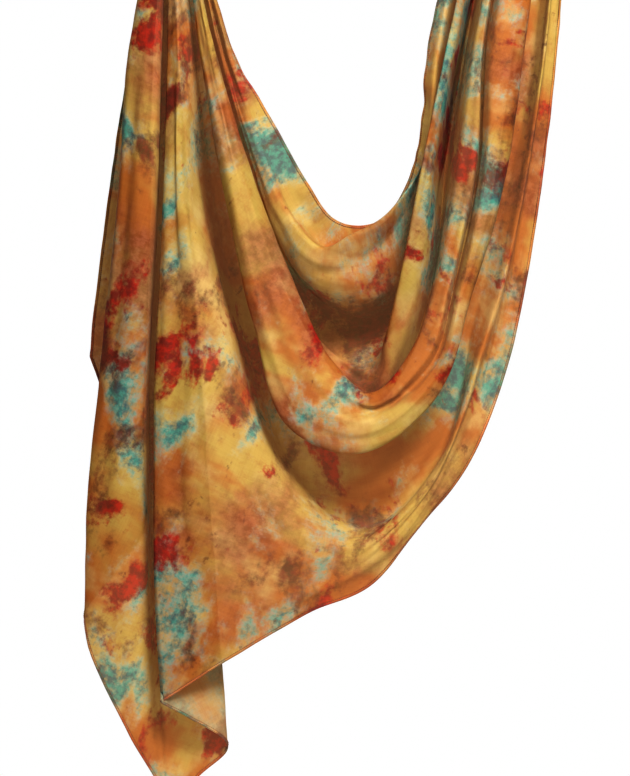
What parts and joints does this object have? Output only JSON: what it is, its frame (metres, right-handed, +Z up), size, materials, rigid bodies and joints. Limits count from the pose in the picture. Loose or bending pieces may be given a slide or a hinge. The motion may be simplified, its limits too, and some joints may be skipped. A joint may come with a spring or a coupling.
{
  "type": "hijab",
  "caption": "Large sheer printed hijab, hung from two gathered holds, with a swag between them and a long pleated tail below the left hold.",
  "frame": {"origin": "the left hold, where the gathered cloth under it starts", "axes": "+Z up along the hanging cloth, +X to the right hold as seen from the front, -Y out of the front"},
  "size_m": [0.7285, 0.172, 1.3339],
  "materials": {
    "cloth": "matte, semi-sheer crepe with a mottled dye print",
    "hem": "matte turned hem of the same cloth"
  },
  "bodies": {
    "root": {"roll_left": "cloth", "roll_bowl": "cloth", "roll_right": "cloth", "cowl_left": "cloth", "cowl_bowl": "cloth", "cowl_right": "cloth", "main_left": "cloth", "main_bowl": "cloth", "main_right": "cloth", "apron_left": "cloth", "apron_bowl": "cloth", "apron_right": "cloth", "front_panel": "cloth", "front_right": "cloth", "tail_return": "cloth", "tail_front": "cloth", "tail_back": "cloth", "hem_top": "hem", "hem_bottom": "hem", "hem_tail_bottom": "hem", "hem_tail_side": "hem", "hem_tail_back": "hem", "hem_tail_top": "hem"}
  },
  "joints": []
}
